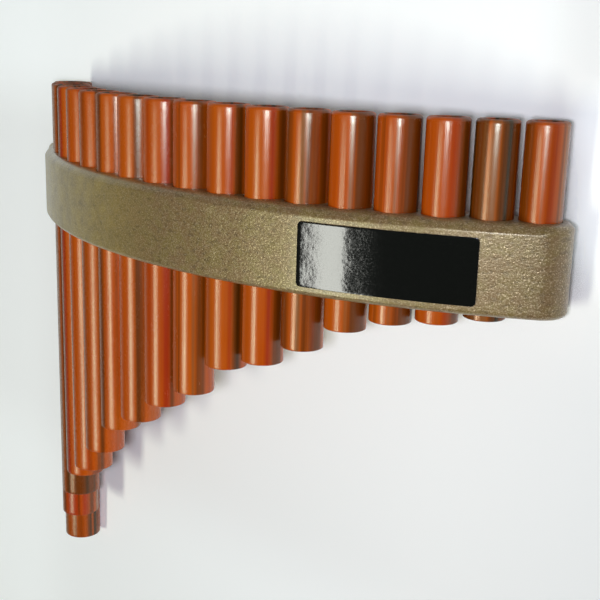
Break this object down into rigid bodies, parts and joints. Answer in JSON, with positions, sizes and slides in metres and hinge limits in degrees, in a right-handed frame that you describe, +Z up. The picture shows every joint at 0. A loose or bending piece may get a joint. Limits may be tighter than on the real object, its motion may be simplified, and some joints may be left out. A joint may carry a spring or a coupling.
{
  "type": "pan flute",
  "caption": "Curved pan flute: stopped round pipes of falling length side by side on an arc, held by a moulded two-shell band with a bare label plate.",
  "frame": {"origin": "under the middle of the flute's box, on the table that it lies on with its convex side up", "axes": "+X along the row from the longest pipe to the shortest, +Y out of the pipes' mouths, +Z up, away from the table"},
  "size_m": [0.2198, 0.1772, 0.052],
  "materials": {
    "pipe_tube": "glossy orange-brown plastic with lengthwise wood-like streaks",
    "stopper_rubber": "matt dark rubber",
    "band_moulding": "mottled grey-brown moulding, satin, with fine bright flecks",
    "label_gloss": "glossy black, bare"
  },
  "bodies": {
    "root": {"pipe_01": "pipe_tube", "pipe_02": "pipe_tube", "pipe_03": "pipe_tube", "pipe_04": "pipe_tube", "pipe_05": "pipe_tube", "pipe_06": "pipe_tube", "pipe_07": "pipe_tube", "pipe_08": "pipe_tube", "pipe_09": "pipe_tube", "pipe_10": "pipe_tube", "pipe_11": "pipe_tube", "pipe_12": "pipe_tube", "pipe_13": "pipe_tube", "pipe_14": "pipe_tube", "pipe_15": "pipe_tube", "pipe_16": "pipe_tube", "pipe_17": "pipe_tube", "pipe_18": "pipe_tube", "stopper_01": "stopper_rubber", "stopper_02": "stopper_rubber", "stopper_03": "stopper_rubber", "stopper_04": "stopper_rubber", "stopper_05": "stopper_rubber", "stopper_06": "stopper_rubber", "stopper_07": "stopper_rubber", "stopper_08": "stopper_rubber", "stopper_09": "stopper_rubber", "stopper_10": "stopper_rubber", "stopper_11": "stopper_rubber", "stopper_12": "stopper_rubber", "stopper_13": "stopper_rubber", "stopper_14": "stopper_rubber", "stopper_15": "stopper_rubber", "stopper_16": "stopper_rubber", "stopper_17": "stopper_rubber", "stopper_18": "stopper_rubber", "band_front": "band_moulding", "band_back": "band_moulding", "label_plate": "label_gloss"}
  },
  "joints": []
}
